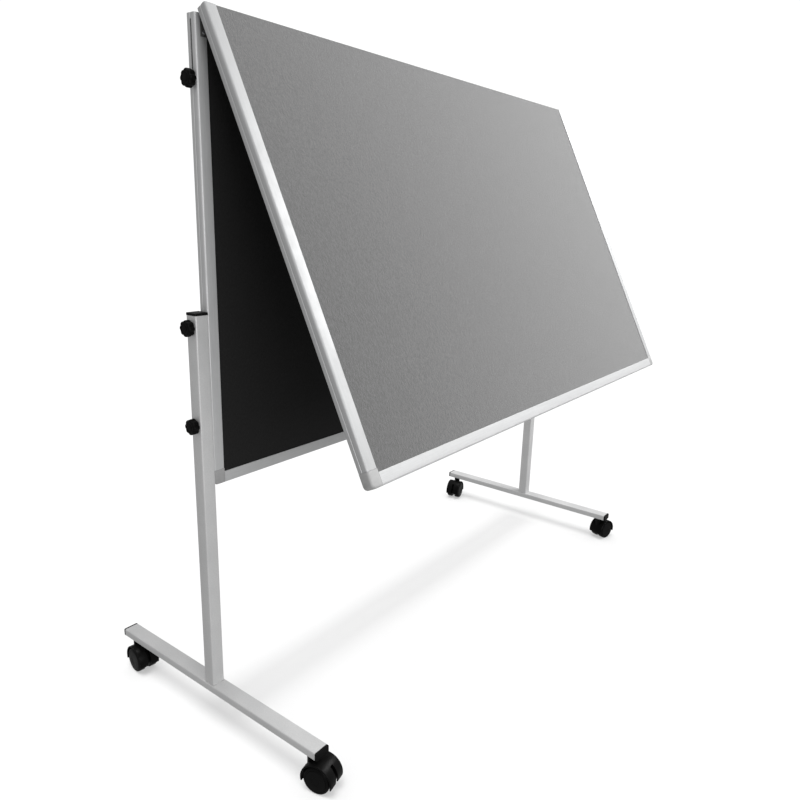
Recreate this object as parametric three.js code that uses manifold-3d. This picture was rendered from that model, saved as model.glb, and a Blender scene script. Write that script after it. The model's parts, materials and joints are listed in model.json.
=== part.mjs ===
// Folding presentation board on castors.
//
// Two equal pin boards in aluminium frames are hinged along their top edges. The rear board
// stands between two T-shaped tube stands, the front board hangs in front of it and is drawn
// open at its foot. Millimetres, +Z up, +X along the board, the front board faces -Y.
// The left-hand side is at -X.

import * as THREE from 'three';
import { mergeVertices } from 'three/addons/utils/BufferGeometryUtils.js';
import Module from 'manifold-3d';

const wasm = await Module();
wasm.setup();

// ---------------------------------------------------------------- driving dimensions
const GAP = 0.3;                 // play between pieces that touch

const BOARD_WIDTH = 1200;        // over both side profiles
const BOARD_HEIGHT = 747;        // one board, from its free top edge to its bottom profile
const PANEL_DEPTH = 20;          // depth of the frame profile
const PANEL_BOTTOM = 467.5;      // underside of the rear board above the floor
const PANEL_CENTRE_Y = 1.5;      // the rear board sits this far behind the posts' centre plane
const FRAME_FACE = 21;           // width of the frame profile seen from the front
const PROFILE_WALL = 1.5;
const LIP_WALL = 1.2;            // lips that hold the board
const PROFILE_RADIUS = 3.5;
const CHAMBER = 11;              // from the outer face to the board's edge
const CORNER_SIZE = 22;          // moulded corner of the frame, along the bottom profile
const CORNER_RISE = 27;          // the same, along the side profile
const CORNER_RADIUS = 8;
const FELT = 1.2;                // thickness of each textile face
const OPEN_ANGLE = 26.5;         // how far the front board is drawn open, in degrees
const HINGE_PROUD = 3;           // hinge axis in front of the rear board's frame
const HINGE_ABOVE = 1;           // hinge axis above both boards' top edges

const POST_SIZE = 25;            // square post tube
const POST_TOP = 767;            // upper end of the post tube
const POST_CLEARANCE = 1.5;      // between the rear board and each post
const TUBE_WALL = 1.5;
const TUBE_RADIUS = 2;
const FOOT_WIDTH = 30;
const FOOT_HEIGHT = 15;
const FOOT_LENGTH = 550;         // without its end caps
const FOOT_TOP = 79;
const END_CAP = 4;               // thickness of the foot's end caps
const POST_LID = 4;              // thickness of the post caps above the tube
const PLUG_LENGTH = 12;
const RIVET_NUT_Y = -218;        // spare threaded insert under the foot
const RIVET_NUT_RADIUS = 6;
const RIVET_NUT_HEIGHT = 2.5;

const CLAMP_HEIGHTS = { upper: 747, lower: 581 };
const KNOB_RADIUS = 13.8;
const KNOB_THICKNESS = 12.5;
const KNOB_LOBES = 8;
const STUD_RADIUS = 3;
const LOCK_HEIGHT = 1123.5;      // lock knob's centre at rest
const LOCK_TRAVEL = 80;
const LOCK_COLLAR = 1.7;         // collar between profile and knob
const LOCK_BAR_LENGTH = 92;
const LOCK_STUD_RADIUS = 1.8;

const LEAF_HEIGHT = 33;
const LEAF_WIDTH = 11.5;
const LEAF_THICKNESS = 1.2;
const KNUCKLE_RADIUS = 2.7;
const PIN_RADIUS = 1.1;

const WHEEL_RADIUS = 25;
const WHEEL_WIDTH = 15;
const WEB_WIDTH = 10;            // hood's middle wall, between the two wheels
const WHEEL_GAP = 0.6;
const CASTOR_TRAIL = 18;         // from the swivel axis to the wheels' axle
const CASTOR_INSET = 20;         // from the foot tube's end to the swivel axis
const HOOD_TOP = 60;
const HOOD_RADIUS = 30;
const HOOD_WALL = 2.8;
const HOOD_END = 196;            // end of the mudguard beside the stem, in degrees about the axle
const HOOD_LOW = -14;            // lower end of the mudguard, in degrees about the axle
const WEB_LOW = 20;              // lower end of the middle wall on the same side
const HOOD_SLOT = 7;             // slot that parts the mudguard's lower end in two
const HOOD_SLOT_TOP = 52;        // upper end of that slot, in degrees about the axle
const AXLE_RADIUS = 3;
const STEM_RADIUS = 5;
const STEM_PIN_RADIUS = 3;
// direction from swivel axis to wheels, in degrees from +X towards +Y
const CASTORS = [
  { name: 'front_left', side: -1, end: -1, heading: -77 },
  { name: 'rear_left', side: -1, end: 1, heading: -96 },
  { name: 'front_right', side: 1, end: -1, heading: -16 },
  { name: 'rear_right', side: 1, end: 1, heading: -167 },
];

// ---------------------------------------------------------------- derived places
const HALF_WIDTH = BOARD_WIDTH / 2;
const PANEL_TOP = PANEL_BOTTOM + BOARD_HEIGHT;
const POST_X = HALF_WIDTH + POST_CLEARANCE + POST_SIZE / 2;
const HINGE_Y = PANEL_CENTRE_Y - PANEL_DEPTH / 2 - HINGE_PROUD;
const HINGE_Z = PANEL_TOP + HINGE_ABOVE;
const FOOT_BOTTOM = FOOT_TOP - FOOT_HEIGHT;
const CASTOR_Y = FOOT_LENGTH / 2 - CASTOR_INSET;
const BOARD_EDGE = HALF_WIDTH - CHAMBER;

// ---------------------------------------------------------------- materials
const finish = (color, roughness, metalness) =>
  new THREE.MeshStandardMaterial({ color, roughness, metalness });
const aluminium = finish(0xb9bbbc, 0.42, 0.9);
const silverPaint = finish(0xa9abad, 0.5, 0.4);
const blackPlastic = finish(0x121213, 0.5, 0);
const greyPlastic = finish(0x9a9b9d, 0.6, 0);
const blackSteel = finish(0x17181a, 0.45, 0.6);
const bareSteel = finish(0x8c8f93, 0.35, 0.95);
const greyFelt = finish(0x7d7e80, 0.95, 0);
const darkFelt = finish(0x1f2022, 0.95, 0);
const softboard = finish(0xb9a888, 0.9, 0);
const wheelPlastic = finish(0x0e0e0f, 0.42, 0);

// ---------------------------------------------------------------- solids
function toSolid(geometry) {
  const bare = geometry.clone();
  bare.deleteAttribute('normal');
  bare.deleteAttribute('uv');
  const merged = mergeVertices(bare, 1e-4);
  return new wasm.Manifold(new wasm.Mesh({
    numProp: 3,
    vertProperties: new Float32Array(merged.attributes.position.array),
    triVerts: new Uint32Array(merged.index.array),
  }));
}

function toGeometry(solid) {
  const mesh = solid.getMesh();
  const geometry = new THREE.BufferGeometry();
  geometry.setAttribute('position', new THREE.BufferAttribute(new Float32Array(mesh.vertProperties), 3));
  geometry.setIndex(new THREE.BufferAttribute(new Uint32Array(mesh.triVerts), 1));
  geometry.computeVertexNormals();
  return geometry;
}

function join(first, ...others) {
  return toGeometry(others.reduce((sum, next) => sum.add(toSolid(next)), toSolid(first)));
}

function cut(first, ...others) {
  return toGeometry(others.reduce((rest, next) => rest.subtract(toSolid(next)), toSolid(first)));
}

function box(low, high) {
  const size = high.map((value, axis) => value - low[axis]);
  const geometry = new THREE.BoxGeometry(...size);
  return geometry.translate(...low.map((value, axis) => value + size[axis] / 2));
}

// a round bar from one point, along +X, +Y or +Z
function bar(axis, radius, start, length, segments = 12) {
  const geometry = new THREE.CylinderGeometry(radius, radius, length, segments);
  if (axis === 'x') geometry.rotateZ(-Math.PI / 2).translate(length / 2, 0, 0);
  if (axis === 'y') geometry.translate(0, length / 2, 0);
  if (axis === 'z') geometry.rotateX(Math.PI / 2).translate(0, 0, length / 2);
  return geometry.translate(...start);
}

function roundedRectangle(target, width, height, radius) {
  const x = width / 2 - radius;
  const y = height / 2 - radius;
  target.absarc(x, y, radius, 0, Math.PI / 2);
  target.absarc(-x, y, radius, Math.PI / 2, Math.PI);
  target.absarc(-x, -y, radius, Math.PI, 1.5 * Math.PI);
  target.absarc(x, -y, radius, 1.5 * Math.PI, 2 * Math.PI);
  target.closePath();
  return target;
}

const plainExtrude = (shape, depth, curveSegments = 2) =>
  new THREE.ExtrudeGeometry(shape, { depth, bevelEnabled: false, curveSegments });

// a rectangular tube along +Z from z = 0, open at both ends
function tube(width, height, length) {
  const shape = roundedRectangle(new THREE.Shape(), width, height, TUBE_RADIUS);
  const inner = TUBE_WALL * 2;
  shape.holes.push(roundedRectangle(new THREE.Path(), width - inner, height - inner, TUBE_RADIUS / 2));
  return plainExtrude(shape, length);
}

// lid with a plug that fits a tube's end; the lid's underside is z = 0, the plug points to -Z
function tubeCap(width, height, lid) {
  const cover = plainExtrude(roundedRectangle(new THREE.Shape(), width, height, TUBE_RADIUS), lid);
  const inset = 2 * (TUBE_WALL + GAP);
  const plugShape = roundedRectangle(new THREE.Shape(), width - inset - 1, height - inset - 1, TUBE_RADIUS / 2);
  return join(cover, plainExtrude(plugShape, PLUG_LENGTH + 1).translate(0, 0, -PLUG_LENGTH));
}

// ---------------------------------------------------------------- assembly helpers
const assembly = new THREE.Group();
const frontBoard = new THREE.Group();

function add(name, geometry, material, parent = assembly) {
  const mesh = new THREE.Mesh(geometry, material);
  mesh.name = name;
  parent.add(mesh);
  return mesh;
}

const sideName = (side) => (side < 0 ? 'left' : 'right');

// Geometry is drawn for the +X side; the -X copy is turned half a turn about Z or mirrored.
function mirrorX(geometry) {
  const copy = geometry.index ? geometry.toNonIndexed() : geometry.clone();
  copy.scale(-1, 1, 1);
  const position = copy.attributes.position;
  for (let i = 0; i < position.count; i += 3) {
    const [ax, ay, az] = [position.getX(i), position.getY(i), position.getZ(i)];
    position.setXYZ(i, position.getX(i + 1), position.getY(i + 1), position.getZ(i + 1));
    position.setXYZ(i + 1, ax, ay, az);
  }
  copy.deleteAttribute('normal');
  copy.deleteAttribute('uv');
  const merged = mergeVertices(copy, 1e-4);
  merged.computeVertexNormals();
  return merged;
}

const forSide = (side, geometry) => (side > 0 ? geometry : mirrorX(geometry));

// ---------------------------------------------------------------- frame profile
// Section of the frame: u runs inwards from the outer face, v across the panel's depth.
function profileSection() {
  const half = PANEL_DEPTH / 2;
  const lip = half - LIP_WALL;
  const shape = new THREE.Shape();
  shape.moveTo(FRAME_FACE, -half);
  shape.lineTo(FRAME_FACE, -lip);
  shape.lineTo(PROFILE_WALL, -lip);
  shape.lineTo(PROFILE_WALL, lip);
  shape.lineTo(FRAME_FACE, lip);
  shape.lineTo(FRAME_FACE, half);
  shape.lineTo(PROFILE_RADIUS, half);
  shape.absarc(PROFILE_RADIUS, half - PROFILE_RADIUS, PROFILE_RADIUS, Math.PI / 2, Math.PI);
  shape.lineTo(0, 1.5);
  shape.lineTo(0.6, 0.9);
  shape.lineTo(0.6, -0.9);
  shape.lineTo(0, -1.5);
  shape.absarc(PROFILE_RADIUS, PROFILE_RADIUS - half, PROFILE_RADIUS, Math.PI, 1.5 * Math.PI);
  shape.closePath();
  return shape;
}

// A board is drawn as the rear one: centred on y = 0, its bottom at z = 0.
function sideProfile() {
  const start = CORNER_RISE + GAP;
  const profile = plainExtrude(profileSection(), BOARD_HEIGHT - start, 4);
  return profile.rotateZ(Math.PI).translate(HALF_WIDTH, 0, start);
}

function bottomProfile() {
  const length = BOARD_WIDTH - 2 * (CORNER_SIZE + GAP);
  const profile = plainExtrude(profileSection(), length, 4);
  // section u to +Z, v to Y, length to X
  return profile.rotateY(-Math.PI / 2).translate(length / 2, 0, 0);
}

function frameCorner() {
  const low = HALF_WIDTH - CORNER_SIZE;
  const shape = new THREE.Shape();
  shape.moveTo(low, 0);
  shape.lineTo(HALF_WIDTH - CORNER_RADIUS, 0);
  shape.absarc(HALF_WIDTH - CORNER_RADIUS, CORNER_RADIUS, CORNER_RADIUS, -Math.PI / 2, 0);
  shape.lineTo(HALF_WIDTH, CORNER_RISE);
  shape.lineTo(low, CORNER_RISE);
  shape.closePath();
  const depth = PANEL_DEPTH;
  const block = plainExtrude(shape, depth, 6).rotateX(Math.PI / 2).translate(0, depth / 2, 0);
  // tongues that key the two profiles together
  const inner = PROFILE_WALL + GAP;
  const tongue = 14;
  const half = PANEL_DEPTH / 2 - LIP_WALL - GAP;
  const outerLow = HALF_WIDTH - CHAMBER + GAP;
  const up = box([outerLow, -half, CORNER_RISE - 1], [HALF_WIDTH - inner, half, CORNER_RISE + tongue]);
  const along = box([low - tongue, -half, inner], [low + 1, half, CHAMBER - GAP]);
  return join(block, up, along);
}

// Outline of the board inside the frame, with its lower corners cut away for the frame's corners.
function boardSheet(thickness, y) {
  const edge = BOARD_EDGE - GAP;
  const notchX = HALF_WIDTH - CORNER_SIZE - GAP;
  const notchZ = CORNER_RISE + GAP;
  const bottom = CHAMBER + GAP;
  const shape = new THREE.Shape();
  shape.moveTo(-notchX, bottom);
  shape.lineTo(notchX, bottom);
  shape.lineTo(notchX, notchZ);
  shape.lineTo(edge, notchZ);
  shape.lineTo(edge, BOARD_HEIGHT);
  shape.lineTo(-edge, BOARD_HEIGHT);
  shape.lineTo(-edge, notchZ);
  shape.lineTo(-notchX, notchZ);
  shape.closePath();
  return plainExtrude(shape, thickness).rotateX(Math.PI / 2).translate(0, y + thickness / 2, 0);
}

function makeBoard(prefix, parent, feltNames, feltMaterials, alterSide) {
  const feltOuter = PANEL_DEPTH / 2 - LIP_WALL - GAP;
  const feltY = feltOuter - FELT / 2;
  const coreHalf = feltOuter - FELT - GAP;
  const meshes = [];
  for (const side of [-1, 1]) {
    const profile = forSide(side, alterSide(sideProfile()));
    meshes.push(add(`${prefix}_frame_${sideName(side)}`, profile, aluminium, parent));
    const corner = forSide(side, frameCorner());
    meshes.push(add(`${prefix}_corner_${sideName(side)}`, corner, greyPlastic, parent));
  }
  meshes.push(add(`${prefix}_frame_bottom`, bottomProfile(), aluminium, parent));
  meshes.push(add(`${prefix}_core_board`, boardSheet(2 * coreHalf, 0), softboard, parent));
  meshes.push(add(feltNames[0], boardSheet(FELT, -feltY), feltMaterials[0], parent));
  meshes.push(add(feltNames[1], boardSheet(FELT, feltY), feltMaterials[1], parent));
  return meshes;
}

// ---------------------------------------------------------------- rear board, fixed to the posts
function cutRearSide(profile) {
  const slotLow = LOCK_HEIGHT - PANEL_BOTTOM - 3;
  const slotHigh = LOCK_HEIGHT - PANEL_BOTTOM + LOCK_TRAVEL + 3;
  const slotHalf = LOCK_STUD_RADIUS + GAP;
  const x = HALF_WIDTH - PROFILE_WALL - 1;
  const cuts = [box([x, -slotHalf, slotLow], [HALF_WIDTH + 1, slotHalf, slotHigh])];
  for (const height of Object.values(CLAMP_HEIGHTS)) {
    const start = [x, -PANEL_CENTRE_Y, height - PANEL_BOTTOM];
    cuts.push(bar('x', STUD_RADIUS + GAP, start, PROFILE_WALL + 2));
  }
  return cut(profile, ...cuts);
}

function makeRearBoard() {
  const felts = ['rear_felt_front', 'rear_felt_back'];
  const meshes = makeBoard('rear', assembly, felts, [darkFelt, greyFelt], cutRearSide);
  for (const mesh of meshes) mesh.position.set(0, PANEL_CENTRE_Y, PANEL_BOTTOM);
}

// ---------------------------------------------------------------- front board, on its hinge
// The front board is the rear one mirrored in the hinge's plane. Its group sits on the hinge
// axis and is turned, so that its foot swings out towards -Y.
function makeFrontBoard() {
  const felts = ['front_felt_outer', 'front_felt_inner'];
  const meshes = makeBoard('front', frontBoard, felts, [greyFelt, darkFelt], (profile) => profile);
  const centre = -HINGE_PROUD - PANEL_DEPTH / 2;
  for (const mesh of meshes) mesh.position.set(0, centre, -HINGE_ABOVE - BOARD_HEIGHT);
  frontBoard.position.set(0, HINGE_Y, HINGE_Z);
  frontBoard.rotation.x = -THREE.MathUtils.degToRad(OPEN_ANGLE);
  assembly.add(frontBoard);
}

// ---------------------------------------------------------------- hinges
// One leaf, hanging from the hinge axis at the origin, on its +Y side. The knuckle intervals
// say where along the leaf's width its knuckles are.
function hingeLeaf(knuckles) {
  const low = HALF_WIDTH - FRAME_FACE;
  const back = KNUCKLE_RADIUS;
  const front = KNUCKLE_RADIUS - LEAF_THICKNESS;
  const plateTop = -KNUCKLE_RADIUS - GAP;
  const plate = box([low, front, plateTop - LEAF_HEIGHT + 3], [low + LEAF_WIDTH, back, plateTop]);
  const pieces = [];
  for (const [from, to] of knuckles) {
    pieces.push(bar('x', KNUCKLE_RADIUS, [low + from, 0, 0], to - from, 16));
    pieces.push(box([low + from, front, plateTop - 1], [low + to, back, 0]));
  }
  const bore = bar('x', PIN_RADIUS + GAP, [low - 1, 0, 0], LEAF_WIDTH + 2);
  return cut(join(plate, ...pieces), bore);
}

function hingePin() {
  const low = HALF_WIDTH - FRAME_FACE - GAP;
  const length = LEAF_WIDTH + 2 * GAP;
  const head = 0.8;
  const headRadius = PIN_RADIUS + 0.9;
  return join(
    bar('x', PIN_RADIUS, [low - 0.4, 0, 0], length + 0.8),
    bar('x', headRadius, [low - head, 0, 0], head),
    bar('x', headRadius, [low + length, 0, 0], head),
  );
}

function makeHinges() {
  const third = LEAF_WIDTH / 3;
  const play = 0.2;
  const outer = [[0, third - play], [2 * third + play, LEAF_WIDTH]];
  const middle = [[third + play, 2 * third - play]];
  for (const side of [-1, 1]) {
    const name = sideName(side);
    const lower = add(`hinge_leaf_lower_${name}`, forSide(side, hingeLeaf(outer)), blackSteel);
    lower.position.set(0, HINGE_Y, HINGE_Z);
    const pin = add(`hinge_pin_${name}`, forSide(side, hingePin()), bareSteel);
    pin.position.set(0, HINGE_Y, HINGE_Z);
    // the upper leaf is the same pressing seen from the other face
    const upper = hingeLeaf(middle).rotateZ(Math.PI);
    add(`hinge_leaf_upper_${name}`, forSide(-side, upper), blackSteel, frontBoard);
  }
}

// ---------------------------------------------------------------- T-stands
function footTube(side) {
  const body = tube(FOOT_WIDTH, FOOT_HEIGHT, FOOT_LENGTH).rotateX(Math.PI / 2);
  body.translate(0, FOOT_LENGTH / 2, FOOT_TOP - FOOT_HEIGHT / 2);
  const nut = bar('z', RIVET_NUT_RADIUS, [0, RIVET_NUT_Y, FOOT_BOTTOM - RIVET_NUT_HEIGHT],
    RIVET_NUT_HEIGHT + TUBE_WALL / 2);
  const holes = [-CASTOR_Y, CASTOR_Y].map((y) =>
    bar('z', STEM_RADIUS + GAP, [0, y, FOOT_BOTTOM - 1], TUBE_WALL + 2));
  return cut(join(body, nut), ...holes).translate(side * POST_X, 0, 0);
}

function postTube(side) {
  const bottom = FOOT_TOP + GAP;
  const body = tube(POST_SIZE, POST_SIZE, POST_TOP - bottom).translate(0, 0, bottom);
  const holes = Object.values(CLAMP_HEIGHTS).map((height) =>
    bar('x', STUD_RADIUS + GAP, [-POST_SIZE, 0, height], 2 * POST_SIZE));
  return cut(body, ...holes).translate(side * POST_X, 0, 0);
}

function makeStands() {
  for (const side of [-1, 1]) {
    const name = sideName(side);
    add(`foot_tube_${name}`, footTube(side), silverPaint);
    add(`post_tube_${name}`, postTube(side), silverPaint);
    const postCap = add(`post_cap_${name}`, tubeCap(POST_SIZE + 1, POST_SIZE + 1, POST_LID), blackPlastic);
    postCap.position.set(side * POST_X, 0, POST_TOP + GAP);
    for (const [end, word] of [[-1, 'front'], [1, 'rear']]) {
      const cap = add(`foot_cap_${word}_${name}`, tubeCap(FOOT_WIDTH, FOOT_HEIGHT, END_CAP), blackPlastic);
      cap.position.set(side * POST_X, end * (FOOT_LENGTH / 2 + GAP), FOOT_TOP - FOOT_HEIGHT / 2);
      cap.rotation.x = -end * Math.PI / 2;
    }
  }
}

// ---------------------------------------------------------------- knobs and lock bolts
// Lobed knob about the X axis, its foot at x = 0.
function knobBody() {
  const shape = new THREE.Shape();
  const steps = KNOB_LOBES * 4;
  const bevel = 1.3;
  for (let i = 0; i < steps; i += 1) {
    const angle = (2 * Math.PI * i) / steps;
    const radius = KNOB_RADIUS - bevel - 0.8 + 0.9 * Math.cos(KNOB_LOBES * angle);
    const point = [radius * Math.cos(angle), radius * Math.sin(angle)];
    if (i === 0) shape.moveTo(...point);
    else shape.lineTo(...point);
  }
  shape.closePath();
  const geometry = new THREE.ExtrudeGeometry(shape, {
    depth: KNOB_THICKNESS - 2 * bevel,
    bevelThickness: bevel,
    bevelSize: bevel,
    bevelSegments: 1,
    curveSegments: 1,
  });
  return geometry.translate(0, 0, bevel).rotateY(Math.PI / 2);
}

function makeClampKnobs() {
  const postFace = POST_X + POST_SIZE / 2;
  const hub = 1.2;
  const tip = HALF_WIDTH - PROFILE_WALL - 4;
  for (const side of [-1, 1]) {
    for (const [word, height] of Object.entries(CLAMP_HEIGHTS)) {
      const base = postFace + GAP;
      const knob = join(
        knobBody().translate(base + hub, 0, 0),
        bar('x', 7, [base, 0, 0], hub + 1, 16),
        bar('x', STUD_RADIUS, [tip, 0, 0], base - tip + 1),
      );
      const mesh = add(`clamp_knob_${word}_${sideName(side)}`, forSide(side, knob), blackPlastic);
      mesh.position.z = height;
    }
  }
}

function makeLocks() {
  const collarStart = HALF_WIDTH + GAP;
  const knobStart = collarStart + LOCK_COLLAR + GAP;
  const barInner = BOARD_EDGE + 1;
  const barOuter = HALF_WIDTH - PROFILE_WALL - GAP;
  const barHalf = 4;
  const studEnd = knobStart + KNOB_THICKNESS - 3;
  for (const side of [-1, 1]) {
    const name = sideName(side);
    const bolt = join(
      box([barInner, -barHalf, -6], [barOuter, barHalf, LOCK_BAR_LENGTH - 6]),
      bar('x', LOCK_STUD_RADIUS, [barOuter - 1, 0, 0], studEnd - barOuter + 1),
      bar('x', 5.5, [collarStart, 0, 0], LOCK_COLLAR, 16),
    );
    const boltMesh = add(`lock_bolt_${name}`, forSide(side, bolt), bareSteel);
    boltMesh.position.set(0, PANEL_CENTRE_Y, LOCK_HEIGHT);
    const boreLength = studEnd - knobStart + 1 + GAP;
    const bore = bar('x', LOCK_STUD_RADIUS + GAP, [knobStart - 1, 0, 0], boreLength);
    const knob = cut(knobBody().translate(knobStart, 0, 0), bore);
    const knobMesh = add(`lock_knob_${name}`, forSide(side, knob), blackPlastic);
    knobMesh.position.set(0, PANEL_CENTRE_Y, LOCK_HEIGHT);
  }
}

// ---------------------------------------------------------------- castors
// A castor is drawn with its swivel axis on Z and its wheels towards +X; the axle runs along Y.
function castorStem() {
  const pinEnd = 31;
  const flangeLow = FOOT_BOTTOM - GAP - 3;
  const top = FOOT_TOP - TUBE_WALL - 1;
  const outline = [
    [0, pinEnd], [STEM_PIN_RADIUS, pinEnd], [STEM_PIN_RADIUS, HOOD_TOP + GAP], [STEM_RADIUS, HOOD_TOP + GAP],
    [STEM_RADIUS, flangeLow], [8, flangeLow], [8, FOOT_BOTTOM - GAP], [STEM_RADIUS, FOOT_BOTTOM - GAP],
    [STEM_RADIUS, top], [0, top],
  ].map(([radius, z]) => new THREE.Vector2(radius, z));
  return new THREE.LatheGeometry(outline, 12).rotateX(Math.PI / 2);
}

// An extruded slice of the hood, across the axle, from an outline about the axle.
function hoodSlice(shape, width) {
  const slice = plainExtrude(shape, width, 14).rotateX(Math.PI / 2);
  return slice.translate(CASTOR_TRAIL, width / 2, WHEEL_RADIUS);
}

function castorHood() {
  const width = WEB_WIDTH + 2 * (WHEEL_GAP + WHEEL_WIDTH);
  const inside = HOOD_RADIUS - HOOD_WALL;
  const radians = THREE.MathUtils.degToRad;
  const ringPart = (outer, inner, from, to) => {
    const shape = new THREE.Shape();
    shape.absarc(0, 0, outer, radians(from), radians(to));
    shape.absarc(0, 0, inner, radians(to), radians(from), true);
    shape.closePath();
    return shape;
  };
  const fender = ringPart(HOOD_RADIUS, inside, HOOD_LOW, HOOD_END);
  const slot = ringPart(HOOD_RADIUS + 1, HOOD_RADIUS - 6, HOOD_LOW - 10, HOOD_SLOT_TOP);
  const web = new THREE.Shape();
  web.absarc(0, 0, inside + 0.8, radians(WEB_LOW), radians(HOOD_END));
  web.absarc(0, 0, 18, radians(HOOD_END), radians(WEB_LOW + 360));
  web.closePath();
  const bossLow = 44;
  const boss = cut(
    bar('z', 8.5, [0, 0, bossLow], HOOD_TOP - bossLow, 14),
    bar('y', inside - 0.2, [CASTOR_TRAIL, -width, WHEEL_RADIUS], 2 * width, 28),
  );
  return cut(
    join(hoodSlice(fender, width), hoodSlice(web, WEB_WIDTH), boss),
    hoodSlice(slot, HOOD_SLOT),
    bar('z', STEM_PIN_RADIUS + GAP, [0, 0, 30], HOOD_TOP - 29),
    bar('y', AXLE_RADIUS + GAP, [CASTOR_TRAIL, -WEB_WIDTH, WHEEL_RADIUS], 2 * WEB_WIDTH),
  );
}

// A wheel on its axle towards +Y, its inner face at y = 0, with a blind bore.
function castorWheel() {
  const bore = AXLE_RADIUS + GAP;
  const outline = [
    [0, WHEEL_WIDTH - 2], [bore, WHEEL_WIDTH - 2], [bore, 0], [WHEEL_RADIUS - 1.2, 0],
    [WHEEL_RADIUS, 1.2], [WHEEL_RADIUS, WHEEL_WIDTH - 2.5], [WHEEL_RADIUS - 4, WHEEL_WIDTH], [0, WHEEL_WIDTH],
  ].map(([radius, y]) => new THREE.Vector2(radius, y));
  return new THREE.LatheGeometry(outline, 24);
}

function makeCastors() {
  const wheelStart = WEB_WIDTH / 2 + WHEEL_GAP;
  const axleHalf = wheelStart + WHEEL_WIDTH - 2.5;
  for (const { name, side, end, heading } of CASTORS) {
    const castor = new THREE.Group();
    castor.position.set(side * POST_X, end * CASTOR_Y, 0);
    castor.rotation.z = THREE.MathUtils.degToRad(heading);
    assembly.add(castor);
    add(`castor_stem_${name}`, castorStem(), bareSteel, castor);
    add(`castor_hood_${name}`, castorHood(), wheelPlastic, castor);
    const axle = bar('y', AXLE_RADIUS, [CASTOR_TRAIL, -axleHalf, WHEEL_RADIUS], 2 * axleHalf);
    add(`castor_axle_${name}`, axle, bareSteel, castor);
    for (const [face, word] of [[1, 'a'], [-1, 'b']]) {
      const wheel = add(`castor_wheel_${word}_${name}`, castorWheel(), wheelPlastic, castor);
      wheel.position.set(CASTOR_TRAIL, face * wheelStart, WHEEL_RADIUS);
      if (face < 0) wheel.rotation.x = Math.PI;
    }
  }
}

// ---------------------------------------------------------------- assembly
makeStands();
makeRearBoard();
makeFrontBoard();
makeHinges();
makeClampKnobs();
makeLocks();
makeCastors();

// The origin is on the floor, under the middle of the whole object's box.
const extent = new THREE.Box3().setFromObject(assembly, true);
assembly.position.x = -(extent.min.x + extent.max.x) / 2;
assembly.position.y = -(extent.min.y + extent.max.y) / 2;

export default assembly;
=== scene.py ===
"""Folding presentation board on castors: finished pieces, materials, camera and light.

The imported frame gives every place. Geometry is drawn in millimetres and scaled to metres
when a piece is made. +Z is up, +X runs along the boards and the front board faces -Y.
"""
import json
import math

import bmesh
import bpy
from mathutils import Matrix, Vector


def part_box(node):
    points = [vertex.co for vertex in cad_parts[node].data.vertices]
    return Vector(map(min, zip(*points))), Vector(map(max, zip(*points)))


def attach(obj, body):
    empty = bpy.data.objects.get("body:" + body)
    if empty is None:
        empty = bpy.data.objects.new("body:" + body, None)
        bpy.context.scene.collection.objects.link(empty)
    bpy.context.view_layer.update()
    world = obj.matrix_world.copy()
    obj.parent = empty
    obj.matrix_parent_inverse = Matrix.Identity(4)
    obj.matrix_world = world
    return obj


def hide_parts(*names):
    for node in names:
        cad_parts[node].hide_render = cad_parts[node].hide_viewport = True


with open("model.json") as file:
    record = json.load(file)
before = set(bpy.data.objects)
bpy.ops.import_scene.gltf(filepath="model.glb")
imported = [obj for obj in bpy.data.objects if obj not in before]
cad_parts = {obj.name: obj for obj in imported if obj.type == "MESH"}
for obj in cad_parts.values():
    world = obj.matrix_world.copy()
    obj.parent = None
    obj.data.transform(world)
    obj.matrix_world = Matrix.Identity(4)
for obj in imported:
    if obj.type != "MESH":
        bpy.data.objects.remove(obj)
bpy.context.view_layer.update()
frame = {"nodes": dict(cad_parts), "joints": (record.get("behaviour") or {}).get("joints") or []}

MM = 0.001

# ------------------------------------------------------------------ sizes in millimetres
PANEL_DEPTH = 20.0           # frame profile, front to back
FRAME_FACE = 21.0            # frame profile, seen from the front
PROFILE_WALL = 1.5
LIP_WALL = 1.2
PROFILE_RADIUS = 3.5
CORNER_ALONG = 22.0          # moulded corner, along the bottom profile
CORNER_RISE = 27.0           # moulded corner, along the side profile
CORNER_RADIUS = 8.0
CHAMBER = 11.0               # hollow of the profile, outside the board's edge
HINGE_PROUD = 3.0            # hinge axis in front of the rear board's frame
HINGE_ABOVE = 1.0            # hinge axis above the boards' top edges
LEAF_FACE = 1.5              # lower leaf's face behind the hinge axis
PLAY = 0.3                   # between pieces that touch
SHARP_ANGLE = 32.0           # shading breaks over edges sharper than this, in degrees

FOOT_WIDTH = 30.0
FOOT_HEIGHT = 15.0
POST_SIZE = 25.0
TUBE_WALL = 1.5
TUBE_RADIUS = 2.4
PLUG_LENGTH = 12.0
RIVET_NUT_RADIUS = 6.0
RIVET_NUT_AHEAD = 218.0      # of the post

KNOB_RADIUS = 13.8
KNOB_THICKNESS = 12.5
KNOB_LOBES = 8
HUB_RADIUS = 7.0
HUB_HEIGHT = 1.2
CLAMP_STUD_RADIUS = 3.0
LOCK_STUD_RADIUS = 1.8
BOLT_SLOT = 4.2              # width of the slot the lock bolt slides in
BOLT_SLOT_SPARE = 3.0        # slot past the bolt's travel, at each end

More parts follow.
